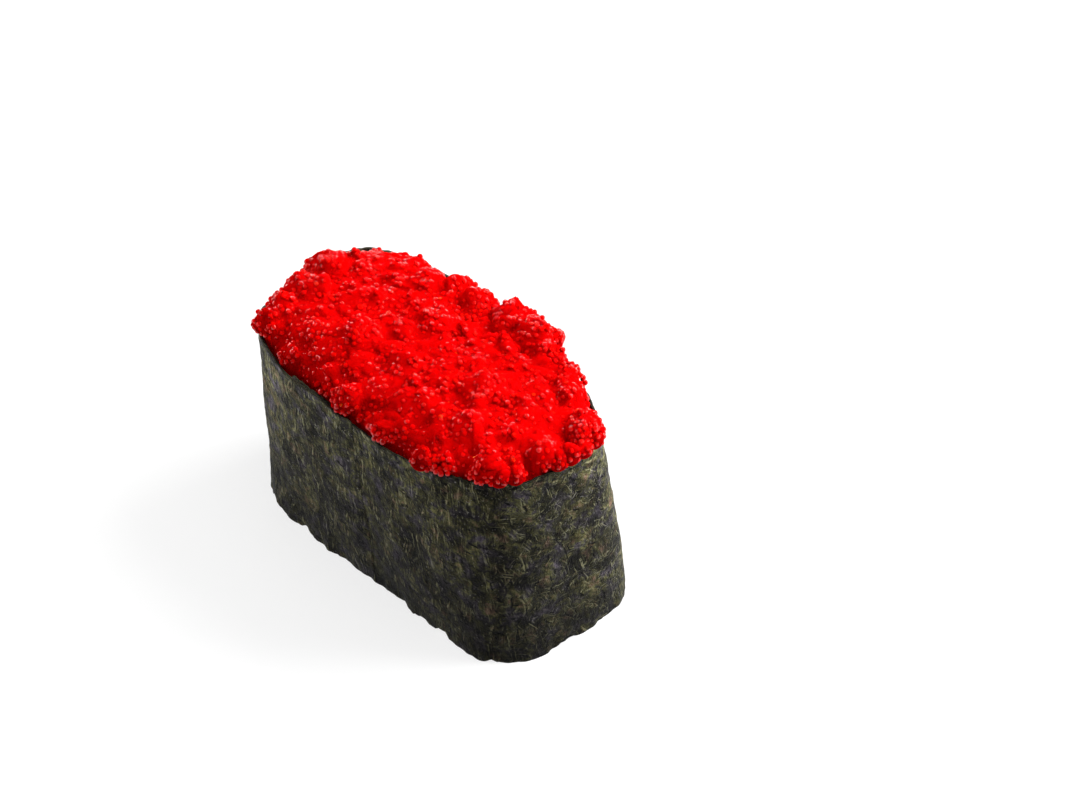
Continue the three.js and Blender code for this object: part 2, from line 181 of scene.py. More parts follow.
JELLY_WALL, JELLY_SIDE = BAND_HEIGHT - 1.0, BAND_HEIGHT - 3.0  # where its outline is taken, and its side ends
JELLY_COLUMNS, JELLY_RINGS = 420, 64
DROP_DEPTH = 0.08  # of the mass inside the lumps over the rim
DROP_DETAIL = 3  # subdivisions of its ball
OVER_RIM = 0.7  # above the rim, where such a lump's mass ends, and which its middle has to clear
HOLLOW_RADIUS = 0.9  # of the largest lump that has eggs alone
HEAP_CELL = 0.25  # of the grid that the smoothed heap is kept on
HEAP_LEAST = BAND_HEIGHT - 3  # the lowest that it goes
# What makes a crest: a share that every place has, how far the heap stands out, patches, and the far end.
CREST = dict(share=0.4, height=1.6, patches=0.35, end=0.25, end_from=-3, end_over=12)
CREST_CELLS = (51, 14, 9)  # of the patches: seed, cells along and across
KNEADING = ((0.75, 2.4), (0.35, 1.1))  # how far the roe is pushed about, and over what distance that changes
KNEAD_ABOVE, KNEAD_FADE = 0.6, 1.2  # above the rim where that starts, and over what height it grows
KNEAD_SEED = 1795525432  # Blender's noise draws its offsets from the clock unless it is given one

# ---- Random numbers and noise ----


class Draws:
    """The same random numbers as the part's source."""

    def __init__(self, seed):
        self.state = seed

    def next(self):
        self.state = (self.state * 1664525 + 1013904223) % 4294967296
        return self.state / 4294967296

    def between(self, limits):
        return limits[0] + (limits[1] - limits[0]) * self.next()


def wave_round(seed, count):
    """A smooth wave between -1 and 1 for each step round the wall, through `count` random values."""
    draws = Draws(seed)
    values = np.array([2 * draws.next() - 1 for _ in range(count)])

    def wave(step):
        place = count * np.asarray(step, float) / STEPS
        low = np.floor(place).astype(int)
        share = place - low
        share = share**3 * (share * (6 * share - 15) + 10)
        return values[low % count] * (1 - share) + values[(low + 1) % count] * share

    return wave


def relief(seed, columns, rows, height):
    """Smooth noise between -1 and 1 over the wall, through random values on a lattice closed round a turn."""
    values = np.random.RandomState(seed).uniform(-1, 1, (columns, rows + 1))

    def at(step, z):
        across = columns * np.asarray(step, float) / STEPS
        up = np.clip(rows * np.asarray(z, float) / height, 0, rows - SMALLEST)
        i, j = np.floor(across).astype(int), np.floor(up).astype(int)
        a, b = across - i, up - j
        a, b = a * a * (3 - 2 * a), b * b * (3 - 2 * b)
        i0, i1 = i % columns, (i + 1) % columns
        low = values[i0, j] * (1 - a) + values[i1, j] * a
        high = values[i0, j + 1] * (1 - a) + values[i1, j + 1] * a
        return low * (1 - b) + high * b

    return at


# ---- The wall's outline ----


def unit_point(shape, angle):
    """The point at an angle on a unit outline of the shape's squareness."""
    squareness = shape["squareness"] + shape["sharpening"] * np.cos(angle + math.pi / 4)
    total = np.abs(np.cos(angle)) ** squareness + np.abs(np.sin(angle)) ** squareness
    reach = total ** (-1 / squareness)
    return reach * np.cos(angle), reach * np.sin(angle)


def outline_point(shape, angle):
    u, v = unit_point(shape, angle)
    width = shape["half_width"] * (1 + shape["taper"] * u)
    x = shape["x"] + shape["half_length"] * u
    y = shape["y"] + width * v + shape["bow"] * (u**2 - 0.5)
    return x, y


def wall_point(angle, z):
    share = z / BAND_HEIGHT
    low_x, low_y = outline_point(GROUND, angle)
    high_x, high_y = outline_point(RIM, angle)
    return low_x + (high_x - low_x) * share, low_y + (high_y - low_y) * share


def inset_point(angle, z, inset):
    """Points of the wall moved in from its outer face, as an array whose last axis is x, y, z."""
    small = 0.01
    ahead_x, ahead_y = wall_point(angle + small, z)
    behind_x, behind_y = wall_point(angle - small, z)
    along_x, along_y = ahead_x - behind_x, ahead_y - behind_y
    length = np.hypot(along_x, along_y)
    x, y = wall_point(angle, z)
    return np.stack(np.broadcast_arrays(x - along_y / length * inset, y + along_x / length * inset, z), -1)


def angle_at(step):
    """The angle of a step counted from the seam, at equal distances round the wall."""
    fine = np.linspace(0, 2 * math.pi, 3601)
    x, y = wall_point(SEAM_ANGLE + fine, BAND_HEIGHT / 2)
    length = np.concatenate([[0], np.cumsum(np.hypot(np.diff(x), np.diff(y)))])
    step = np.asarray(step, float)
    turns = np.floor(step / STEPS)
    share = step / STEPS - turns
    return SEAM_ANGLE + np.interp(share * length[-1], length, fine) + 2 * math.pi * turns


def lap_inset(step):
    """How far in the innermost layer lies at a step from the seam, within one turn."""
    share = np.clip(step / SETTLE_STEPS, 0, 1)
    settling = 1 - share * share * (3 - 2 * share)
    below_flap = step >= STEPS - FLAP_STEPS
    return (NORI_THICKNESS + LAYER_GAP) * np.where(below_flap, 1, settling)


rim_wave = wave_round(3, 16)
rag_wave = wave_round(5, 40)
buckle_waves = [wave_round(7 + row, 30) for row in range(BUCKLE_ROWS + 1)]


def rim_height(step):
    away = (angle_at(step) - RIM_DIP["angle"]) / RIM_DIP["width"]
    return BAND_HEIGHT + RIM_WAVE * rim_wave(step) - RIM_DIP["depth"] * np.exp(-(away**2))


def inner_ring(z, extra_inset=0.0, count=STEPS):
    """One turn along the room inside the nori, at a height."""
    steps = np.linspace(0, STEPS, count, endpoint=False)
    inset = lap_inset(steps) + NORI_THICKNESS + CLEARANCE + BUCKLE + extra_inset
    return inset_point(angle_at(steps), np.full(count, float(z)), inset)


# ---- The heap's surface ----


def share_of(shape, x, y):
    """How far out a point is, as a share of the outline's reach in its direction."""
    u, v = unit_place(shape, x, y)
    return np.hypot(u, v) / np.hypot(*unit_point(shape, np.arctan2(v, u)))


def unit_place(shape, x, y):
    """Where a point lies on the unit outline's own axes."""
    u = (x - shape["x"]) / shape["half_length"]
    v = (y - shape["y"] - shape["bow"] * (u**2 - 0.5)) / (shape["half_width"] * (1 + shape["taper"] * u))
    return u, v


def depth_of(shape, x, y):
    """About how far in from the outline a point lies."""
    small = 0.05
    slope_x = (share_of(shape, x + small, y) - share_of(shape, x - small, y)) / (2 * small)
    slope_y = (share_of(shape, x, y + small) - share_of(shape, x, y - small)) / (2 * small)
    return (1 - share_of(shape, x, y)) / np.maximum(np.hypot(slope_x, slope_y), small)


def even_heap(x, y):
    depth = depth_of(RIM, x, y) - NORI_THICKNESS
    gain = np.where(depth > 0, 1 - np.exp(-np.maximum(depth, 0) / ROE_REACH), depth / ROE_REACH)
    u, v = unit_place(RIM, x, y)
    away = (np.arctan2(v, u) - ROE_GAP["angle"]) / ROE_GAP["width"]
    gap = ROE_GAP["drop"] * np.exp(-(away**4) - np.maximum(depth, 0) / ROE_GAP["reach"])
    return BAND_HEIGHT - ROE_EDGE_DROP + ROE_RISE * gain - gap


def heap_height(lumps, x, y):
    """The top of the heap over points of the plan. lumps is an array of x, y, z, radius."""
    x, y = np.asarray(x, float), np.asarray(y, float)
    height = even_heap(x, y)
    for lump_x, lump_y, lump_z, radius in lumps:
        left = radius**2 - (x - lump_x) ** 2 - (y - lump_y) ** 2
        height = np.maximum(height, np.where(left > 0, lump_z + np.sqrt(np.maximum(left, 0)), -np.inf))
    return height


def heap_normal(lumps, x, y):
    small = 0.3
    slope_x = (heap_height(lumps, x + small, y) - heap_height(lumps, x - small, y)) / (2 * small)
    slope_y = (heap_height(lumps, x, y + small) - heap_height(lumps, x, y - small)) / (2 * small)
    normal = np.stack([-slope_x, -slope_y, np.ones_like(slope_x)], -1)
    return normal / np.linalg.norm(normal, axis=-1, keepdims=True)


def spread(draws, count, apart, fits):
    """Places over the field, none closer together than `apart`, wherever `fits` allows."""
    places = []
    tries = 0
    while len(places) < count and tries < TRIES_PER_PLACE * count:
        tries += 1
        x = FIELD[0] * (2 * draws.next() - 1)
        y = FIELD[1] * (2 * draws.next() - 1)
        crowded = any(math.hypot(place[0] - x, place[1] - y) < apart for place in places)
        if not crowded and fits(x, y):
            places.append((x, y))
    return places


def heap_lumps():
    """The main lumps and the clumps scattered over them, as an array of x, y, z, radius."""
    draws = Draws(42)
    lumps = [(x, y, top - radius, radius) for x, y, top, radius in LUMPS]
    for degrees, inset in SPILLS:
        x, y, _ = inset_point(math.radians(degrees), BAND_HEIGHT, inset)
        lumps.append((x, y, SPILL_TOP - SPILL_RADIUS, SPILL_RADIUS))
    for tier in CLUMPS:
        places = spread(draws, tier["count"], tier["apart"], lambda x, y: share_of(RIM, x, y) < CLUMP_FIELD)
        x, y = np.array(places).T
        radius = []
        sunk = []
        for _ in places:
            radius.append(draws.between(tier["radius"]))
            sunk.append(draws.between(tier["proud"]) - radius[-1])
        top = np.stack([x, y, heap_height(lumps, x, y)], -1)
        centre = top + heap_normal(lumps, x, y) * np.array(sunk)[:, None]
        lumps += [(*point, size) for point, size in zip(centre.tolist(), radius)]
    return np.array(lumps)


# ---- Mesh helpers ----


def piece_from(name, points, faces, smooth=True):
    """A mesh object from points in millimetres."""
    mesh = bpy.data.meshes.new(name)
    mesh.from_pydata((np.asarray(points) * MM).tolist(), [], [list(face) for face in faces])
    mesh.validate()
    mesh.polygons.foreach_set("use_smooth", [smooth] * len(mesh.polygons))
    mesh.update()
    piece = bpy.data.objects.new(name, mesh)
    bpy.context.scene.collection.objects.link(piece)
    return piece


def unit_ball(subdivisions):
    """The points and triangles of a ball of radius 1."""
    ball = bmesh.new()
    bmesh.ops.create_icosphere(ball, subdivisions=subdivisions, radius=1)
    points = np.array([vertex.co for vertex in ball.verts])
    faces = np.array([[vertex.index for vertex in face.verts] for face in ball.faces])
    ball.free()
    return points, faces


def turned(random, count):
    """Random rotation matrices."""
    q = random.normal(size=(count, 4))
    q /= np.linalg.norm(q, axis=1, keepdims=True)
    w, x, y, z = q.T
    return np.stack(
        [
            np.stack([1 - 2 * (y * y + z * z), 2 * (x * y - z * w), 2 * (x * z + y * w)], -1),
            np.stack([2 * (x * y + z * w), 1 - 2 * (x * x + z * z), 2 * (y * z - x * w)], -1),
            np.stack([2 * (x * z - y * w), 2 * (y * z + x * w), 1 - 2 * (x * x + y * y)], -1),
        ],
        -2,
    )


def point_vectors(piece, name, vectors):
    """Keeps a direction for each vertex of a piece, for its material."""
    attribute = piece.data.attributes.new(name, "FLOAT_VECTOR", "POINT")
    attribute.data.foreach_set("vector", np.asarray(vectors, np.float32).ravel())


def point_values(piece, name, values):
    """Keeps a number for each vertex of a piece, for its material."""
    attribute = piece.data.attributes.new(name, "FLOAT", "POINT")
    attribute.data.foreach_set("value", np.asarray(values, np.float32))


# ---- Materials ----


class Nodes:
    """A material's nodes, with short calls that make and link them."""

    def __init__(self, name):
        self.material = bpy.data.materials.new(name)
        self.material.use_nodes = True
        self.tree = self.material.node_tree
        self.shader = self.tree.nodes["Principled BSDF"]

    def add(self, kind, inputs=None, **settings):
        node = self.tree.nodes.new(kind)
        for key, value in settings.items():
            setattr(node, key, value)
        for key, value in (inputs or {}).items():
            self.put(node.inputs[key], value)
        return node

    def put(self, socket, value):
        """Links an output to a socket, or sets the socket's own value."""
        if isinstance(value, bpy.types.NodeSocket):
            self.tree.links.new(value, socket)
        else:
            socket.default_value = value

    def set(self, **inputs):
        for key, value in inputs.items():
            self.put(self.shader.inputs[key.replace("_", " ")], value)

    def attribute(self, name, output="Fac"):
        return self.add("ShaderNodeAttribute", attribute_name=name).outputs[output]

    def math(self, operation, a, b=0.0):
        return self.add("ShaderNodeMath", {0: a, 1: b}, operation=operation).outputs[0]

    def noise(self, place, scale, detail=3.0, roughness=0.55):
        inputs = {"Vector": place, "Scale": scale, "Detail": detail, "Roughness": roughness}
        return self.add("ShaderNodeTexNoise", inputs).outputs["Fac"]

    def ramp(self, value, stops):
        """A colour ramp through stops of (place, colour)."""
        node = self.add("ShaderNodeValToRGB", {"Fac": value})
        while len(node.color_ramp.elements) < len(stops):
            node.color_ramp.elements.new(0.5)
        for element, (place, color) in zip(node.color_ramp.elements, stops):
            element.position = place
            element.color = (*color, 1)
        return node.outputs["Color"]

    def mapped(self, value, low, high, to_low=0.0, to_high=1.0):
        inputs = {"Value": value, "From Min": low, "From Max": high, "To Min": to_low, "To Max": to_high}
        return self.add("ShaderNodeMapRange", inputs, clamp=True).outputs["Result"]

    def mix(self, share, a, b, blend="MIX"):
        node = self.add("ShaderNodeMix", data_type="RGBA", blend_type=blend)
        self.put(node.inputs["Factor"], share)
        self.put(node.inputs["A"], a if isinstance(a, bpy.types.NodeSocket) else (*a, 1))
        self.put(node.inputs["B"], b if isinstance(b, bpy.types.NodeSocket) else (*b, 1))
        return node.outputs["Result"]

    def scaled(self, color, share):
        grey = self.add("ShaderNodeCombineColor", {0: share, 1: share, 2: share}).outputs[0]
        return self.mix(1.0, color, grey, "MULTIPLY")

    def most(self, fields):
        strongest = fields[0]
        for field in fields[1:]:
            strongest = self.math("MAXIMUM", strongest, field)
        return strongest

    def bump(self, height, strength, distance):
        inputs = {"Height": height, "Strength": strength, "Distance": distance}
        self.put(self.shader.inputs["Normal"], self.add("ShaderNodeBump", inputs).outputs["Normal"])


# The stops of the eggs' colour, over their tones. One in 200 is orange.
EGG_REDS = (
    (0.0, (0.82, 0.001, 0.001)),
    (0.5, (0.86, 0.002, 0.002)),
    (0.995, (0.90, 0.004, 0.002)),
    (1.0, (0.99, 0.06, 0.004)),
)
JELLY_REDS = ((0.3, (0.53, 0.0005, 0.0008)), (0.7, (0.60, 0.001, 0.001)))
PAINTED_RIM_SHADE, RIM_SHADE_SHARE = (0.10, 0.0002, 0.0006), 0.75  # painted shade on the roe beside the nori, and how much of it there is
LIGHT_REACH = (1.0, 0.10, 0.06)  # of red, green and blue light inside the roe

# The nori's strands: the direction they lie in, length and width in millimetres, and the walls with them.
NORI_STRANDS = (
    (1.57, 8.0, 0.28, "side"),
    (1.76, 6.0, 0.32, "side"),
    (1.36, 7.0, 0.28, "both"),
    (0.10, 6.0, 0.28, "end"),
    (0.9, 6.0, 0.28, "end"),
    (2.3, 5.0, 0.32, "end"),
)
NORI_CREASES = ((1.45, 2.2, 0.45), (0.3, 2.0, 0.45))
NORI_GROUND = (
    (0.38, (0.060, 0.050, 0.068)),
    (0.46, (0.052, 0.046, 0.044)),
    (0.51, (0.056, 0.056, 0.022)),
    (0.56, (0.070, 0.066, 0.026)),
    (0.64, (0.084, 0.052, 0.034)),
)
NORI_FIBRE = (
    (0.38, (0.32, 0.29, 0.30)),
    (0.46, (0.36, 0.35, 0.20)),
    (0.55, (0.46, 0.44, 0.24)),
    (0.64, (0.34, 0.24, 0.15)),
)
# A painted glint for the nori's specks, painted shade for its low part and ends, and painted shade for its
# creases.
PAINTED_GLINT, NORI_PAINTED_SHADE, CREASE_SHADE = (0.30, 0.29, 0.27), (0.004, 0.004, 0.004), (0.001, 0.001, 0.001)
RICE_WHITES = ((0.3, (0.80, 0.77, 0.68)), (0.7, (0.90, 0.88, 0.80)))


def heap_shade(nodes, color, scale):
    """Light that enters wet roe spreads over many eggs, so the shade follows the heap more than each egg.
    Shade near the rim is painted into the colour.
    """
    normal = nodes.attribute("heap_normal", "Vector")
    spaces = dict(vector_type="NORMAL", convert_from="OBJECT", convert_to="WORLD")
    towards = nodes.add("ShaderNodeVectorTransform", {0: normal}, **spaces)
    # Painted shade: the colour is mixed towards a deep red where the heap comes down to the rim.
    sunk = nodes.math("MULTIPLY", nodes.attribute("sunk"), RIM_SHADE_SHARE)
    nodes.set(Base_Color=nodes.mix(sunk, color, PAINTED_RIM_SHADE))
    nodes.set(Normal=towards.outputs[0], Roughness=0.5, Specular_IOR_Level=0.0)
    nodes.set(Subsurface_Weight=0.9, Subsurface_Scale=scale, Subsurface_Radius=LIGHT_REACH)


def egg_material(name):
    """A wet translucent egg, whose colour differs from egg to egg, under a thin clear skin."""
    nodes = Nodes(name)
    color = nodes.ramp(nodes.attribute("tone"), EGG_REDS)
    nodes.set(Coat_Weight=nodes.attribute("wet"), Coat_IOR=1.40, Coat_Roughness=0.06)
    nodes.set(Coat_Normal=nodes.add("ShaderNodeNewGeometry").outputs["Normal"])
    heap_shade(nodes, color, 0.5 * MM)
    return nodes.material


def jelly_material():
    """The wet mass between the eggs."""
    nodes = Nodes("roe_jelly")
    patches = nodes.noise(nodes.add("ShaderNodeTexCoord").outputs["Object"], 900.0)
    heap_shade(nodes, nodes.ramp(patches, JELLY_REDS), 1.2 * MM)
    return nodes.material


def wandering(nodes, flat):
    """The places on the sheet, pushed about so that nothing on it is straight."""
    wander = nodes.add("ShaderNodeTexNoise", {"Vector": flat, "Scale": 0.3, "Detail": 2.0}).outputs["Color"]
    middle = (0.5, 0.5, 0.5)
    wander = nodes.add("ShaderNodeVectorMath", {0: wander, 1: middle}, operation="SUBTRACT").outputs[0]
    wander = nodes.add("ShaderNodeVectorMath", {0: wander, "Scale": 1.6}, operation="SCALE").outputs[0]
    return nodes.add("ShaderNodeVectorMath", {0: flat, 1: wander}, operation="ADD").outputs[0]


def streaks(nodes, sheet, number, turn, length, width, low, high):
    """Thin spindles that lie along one direction of the sheet. Each number gives other ones."""
    shift = (17.0 * number, 5.0 * number, 0)
    inputs = {"Vector": sheet, "Rotation": (0, 0, turn), "Location": shift}
    turned_sheet = nodes.add("ShaderNodeMapping", inputs).outputs[0]
    scale = (1 / length, 1 / width, 1)
    drawn = nodes.add("ShaderNodeMapping", {"Vector": turned_sheet, "Scale": scale}).outputs[0]
    return nodes.mapped(nodes.noise(drawn, 1.0, detail=2.0), low, high)


def nori_material():
    """Toasted seaweed: strands pressed every way into a dark, mottled sheet."""
    nodes = Nodes("nori")
    flat = nodes.attribute("strip", "Vector")  # millimetres along the strip and up it
    sheet = wandering(nodes, flat)
    across = nodes.add("ShaderNodeSeparateXYZ", {0: nodes.add("ShaderNodeTexCoord").outputs["Object"]})
    x, y, z = (across.outputs[axis] for axis in "XYZ")
    side = nodes.mapped(nodes.math("ABSOLUTE", y), 7 * MM, 12 * MM)
    end = nodes.math("SUBTRACT", 1.0, side)
    walls = {"side": side, "end": end}

    strands = []
    for number, (turn, length, width, wall) in enumerate(NORI_STRANDS):
        where = nodes.noise(flat, 0.35 + 0.05 * number, detail=4.0, roughness=0.7)
        where = nodes.mapped(where, 0.52, 0.60)
        if wall in walls:
            where = nodes.math("MULTIPLY", where, nodes.mapped(walls[wall], 0, 1, 0.1, 1))
        strand = streaks(nodes, sheet, number, turn, length, width, 0.55, 0.66)
        strands.append(nodes.math("MULTIPLY", strand, where))
    strands = nodes.most(strands)
    upright = streaks(nodes, sheet, 7, 1.57, 8.0, 0.4, 0.30, 0.70)
    upright = nodes.math("MULTIPLY", upright, nodes.mapped(side, 0, 1, 0.4, 1.0))
    lying = streaks(nodes, sheet, 8, 0.5, 4.0, 0.5, 0.30, 0.70)
    lying = nodes.math("MULTIPLY", lying, nodes.mapped(end, 0, 1, 0.4, 1.0))
    weave = nodes.math("ADD", upright, lying)
    creases = [streaks(nodes, sheet, 11 + i, *crease, 0.60, 0.64) for i, crease in enumerate(NORI_CREASES)]
    creased = nodes.mapped(nodes.noise(flat, 0.6, detail=2.0), 0.50, 0.56)
    creases = nodes.math("MULTIPLY", nodes.most(creases), creased)
    broad = nodes.noise(sheet, 0.12, detail=3.0, roughness=0.6)
    patches = nodes.noise(sheet, 0.28, detail=7.0, roughness=0.72)
    tints = nodes.noise(sheet, 0.40, detail=6.0, roughness=0.72)
    grain = nodes.noise(sheet, 1.6, detail=4.0, roughness=0.75)
    glint_specks = nodes.mapped(nodes.noise(sheet, 3.0, detail=2.0), 0.66, 0.72)

    value = nodes.mapped(patches, 0.38, 0.62, 0.05, 1.7)
    value = nodes.math("MULTIPLY", value, nodes.mapped(grain, 0.36, 0.64, 0.35, 1.6))
    value = nodes.math("MULTIPLY", value, nodes.mapped(weave, 0.3, 1.2, 0.35, 1.6))
    value = nodes.math("MULTIPLY", value, nodes.mapped(broad, 0.38, 0.60, 0.40, 1.35))
    color = nodes.scaled(nodes.ramp(tints, NORI_GROUND), value)
    color = nodes.mix(nodes.math("MULTIPLY", strands, 0.75), color, nodes.ramp(tints, NORI_FIBRE))
    # Painted glints: small pale specks.
    color = nodes.mix(nodes.math("MULTIPLY", glint_specks, 0.6), color, PAINTED_GLINT)
    # Painted sheen: paler on the near end's bend and at the far end, where light grazes the sheet.
    bend = nodes.math("MULTIPLY", nodes.mapped(x, 12 * MM, 20 * MM), nodes.mapped(y, -2 * MM, 4 * MM))
    painted_sheen = nodes.math("MAXIMUM", bend, nodes.mapped(x, -20 * MM, 8 * MM, 1.0, 0.0))
    color = nodes.scaled(color, nodes.mapped(painted_sheen, 0, 1, 1.0, 1.8))
    # Painted shade: the creases are painted near black, as well as cut into the bump.
    color = nodes.mix(nodes.math("MULTIPLY", creases, 0.95), color, CREASE_SHADE)
    # Painted shade: darker low down and on both ends.
    color = nodes.mix(nodes.mapped(z, 2 * MM, 24 * MM, 0.7, 0.0), color, NORI_PAINTED_SHADE)
    color = nodes.mix(nodes.math("MULTIPLY", end, 0.36), color, NORI_PAINTED_SHADE)
    nodes.set(Base_Color=color, Roughness=nodes.mapped(strands, 0, 1, 0.6, 0.42))
    nodes.set(Specular_IOR_Level=0.06, Sheen_Weight=0.015, Sheen_Roughness=0.35)

    height = nodes.math("ADD", nodes.math("MULTIPLY", strands, 0.5), nodes.math("MULTIPLY", grain, 1.6))
    height = nodes.math("ADD", height, nodes.math("MULTIPLY", patches, 2.4))
    height = nodes.math("SUBTRACT", height, creases)
    nodes.bump(height, 1.0, 0.3 * MM)
    return nodes.material


def rice_material():
    nodes = Nodes("rice")
    place = nodes.add("ShaderNodeTexCoord").outputs["Object"]
    nodes.set(Base_Color=nodes.ramp(nodes.noise(place, 500.0), RICE_WHITES))
    nodes.set(Roughness=0.38, IOR=1.38)
    nodes.set(Subsurface_Weight=0.5, Subsurface_Scale=1.0 * MM, Subsurface_Radius=(1.0, 0.9, 0.7))
    nodes.bump(nodes.noise(place, 2500.0), 0.25, 0.05 * MM)
    return nodes.material


def floor_material():
    nodes = Nodes("floor")
    nodes.set(Base_Color=(0.24, 0.24, 0.24, 1), Roughness=0.9)
    nodes.set(Emission_Color=(1, 1, 1, 1), Emission_Strength=0.76)
    return nodes.material


# ---- Nori ----


def nori_strip():
    """The strip from its end below the flap to the flap's end, with both faces and its edges."""
    columns = (STEPS + FLAP_STEPS) * COLUMNS_PER_STEP
    step = np.linspace(-FLAP_STEPS, STEPS, columns + 1)[:, None]
    up = np.linspace(0, 1, NORI_ROWS + 1)[None, :]
    flap = np.clip((step - STEPS + FLAP_STEPS) / FLAP_STEPS, 0, 1)
    upper, lower = 0, 0.999  # rows of the edges' noise
    frayed, torn = relief(31, 230, 1, 1.0), relief(37, 95, 1, 1.0)
    top = rim_height(step) + FLAP_RISE * flap + NORI_FRAY[0] * frayed(step, upper)
    ragged = RAG * rag_wave(step) + NORI_TEAR * torn(step, lower) + NORI_FRAY[1] * frayed(step, lower)
    bottom = np.maximum(0, ragged)
    z = bottom + (top - bottom) * up
    pressed = np.clip((step - STEPS + PRESS_STEPS) / PRESS_STEPS, 0, 1) ** 2
    inset = np.where(step < SETTLE_STEPS, lap_inset(step % STEPS), 0.0) + FLAP_PRESS * pressed
    inset = inset + buckle_at(step, z)
    for seed, across, upwards, depth in NORI_RELIEFS:
        inset = inset + depth * relief(seed, across, upwards, NORI_RELIEF_HEIGHT)(step, z)
    inset = inset + FOOT_CURL * np.clip(1 - z / FOOT_HEIGHT, 0, 1) * relief(41, 110, 1, 1.0)(step, upper)
    angle = angle_at(step[:, 0])[:, None]
    outer = inset_point(angle, z, inset)
    inner = inset_point(angle, z, inset + NORI_THICKNESS - FLAP_THINNING * pressed)
    return strip_piece(outer, inner, np.broadcast_to(step, z.shape) * STEP_LENGTH, z)


def buckle_at(step, z):
    """How far the wall buckles in at a step and height."""
    place = np.clip(z / BAND_HEIGHT, 0, 1) * BUCKLE_ROWS
    total = np.zeros(np.broadcast(step, z).shape)
    for row, wave in enumerate(buckle_waves):
        total += wave(step) * np.clip(1 - np.abs(place - row), 0, 1)
    return BUCKLE * total


def strip_piece(outer, inner, distance, z):
    """The closed sheet between two grids of points. Each point keeps its place on the flat strip."""
    columns, rows = outer.shape[0] - 1, outer.shape[1] - 1
    count = outer.shape[0] * outer.shape[1]
    index = np.arange(count).reshape(outer.shape[:2])
    far = index + count

    def quads(a, b, c, d):
        return np.stack([a, b, c, d], -1).reshape(-1, 4)

    faces = [
        quads(index[:-1, :-1], index[1:, :-1], index[1:, 1:], index[:-1, 1:]),
        quads(far[:-1, :-1], far[:-1, 1:], far[1:, 1:], far[1:, :-1]),
        quads(index[:-1, 0], far[:-1, 0], far[1:, 0], index[1:, 0]),
        quads(index[:-1, rows], index[1:, rows], far[1:, rows], far[:-1, rows]),
        quads(index[0, :-1], index[0, 1:], far[0, 1:], far[0, :-1]),
        quads(index[columns, :-1], far[columns, :-1], far[columns, 1:], index[columns, 1:]),
    ]
    points = np.concatenate([outer.reshape(-1, 3), inner.reshape(-1, 3)])
    piece = piece_from("nori_sheet", points, np.concatenate(faces).tolist())
    strip = np.stack([distance.ravel(), z.ravel(), np.zeros(count)], -1)
    point_vectors(piece, "strip", np.concatenate([strip, strip + INNER_FACE_SHIFT]))
    return piece


# ---- Rice ----


def prism(rings):
    """The points and faces of a closed solid through rings listed upwards, with flat ends."""
    size = len(rings[0])
    faces = []
    for ring in range(len(rings) - 1):
        for i in range(size):
            low, ahead = ring * size + i, ring * size + (i + 1) % size
            faces.append((low, ahead, ahead + size, low + size))
    faces.append(tuple(range(size - 1, -1, -1)))
    faces.append(tuple(range((len(rings) - 1) * size, len(rings) * size)))
    return np.concatenate(rings), faces


def rice_core():
    rings = [inner_ring(z, RICE_CORE_INSET) for z in (RICE_CORE_BOTTOM, RICE_TOP)]
    return piece_from("rice_core", *prism(rings), smooth=False)


def rice_grains():
    """Whole grains pressed flat against the ground, side by side and a little across each other."""
    random = np.random.RandomState(61)
    ball, ball_faces = unit_ball(GRAIN_DETAIL)
    places = spread(Draws(62), GRAIN_COUNT, GRAIN_APART, lambda x, y: share_of(GROUND, x, y) < GRAIN_FIELD)
    points, faces = [], []
    for number, (x, y) in enumerate(places):
        size = np.array(RICE_GRAIN) * random.uniform(*GRAIN_SIZE)
        grain = ball * size
        grain[:, 1] *= 1 - GRAIN_NARROWING * (grain[:, 0] / size[0]) ** 2
        heading, tilt = random.uniform(0, math.pi), random.uniform(-GRAIN_TILT, GRAIN_TILT)
        turn = Matrix.Rotation(heading, 3, "Z") @ Matrix.Rotation(tilt, 3, "Y")
        grain = grain @ np.array(turn).T + (x, y, random.uniform(*GRAIN_MIDDLE))
        grain[:, 2] = np.maximum(grain[:, 2], 0)
        points.append(grain)
        faces.append(ball_faces + number * len(ball))
    return piece_from("rice_grains", keep_inside(np.concatenate(points)), np.concatenate(faces).tolist())


def keep_inside(points):
    """Pulls points that stand out of the room inside the nori back to it."""
    wall = NORI_THICKNESS * 2 + LAYER_GAP + BUCKLE
    share = share_of(GROUND, points[:, 0], points[:, 1])
    most = 1 - wall / GROUND["half_width"]
    pull = np.minimum(1, most / np.maximum(share, SMALLEST))[:, None]
    middle = np.array([GROUND["x"], GROUND["y"]])
    points[:, :2] = middle + (points[:, :2] - middle) * pull
    return points


# ---- Roe ----


def heap_depth(lumps, points):
    """How deep points lie below the heap's surface, where negative is outside."""
    x, y, z = points.T
    small = 0.1
    base = even_heap(x, y)
    slope_x = (even_heap(x + small, y) - base) / small
    slope_y = (even_heap(x, y + small) - base) / small
    depth = (base - z) / np.sqrt(1 + slope_x**2 + slope_y**2)
    for lump_x, lump_y, lump_z, radius in lumps:
        away = np.sqrt((x - lump_x) ** 2 + (y - lump_y) ** 2 + (z - lump_z) ** 2)
        depth = np.maximum(depth, radius - away)
    return depth


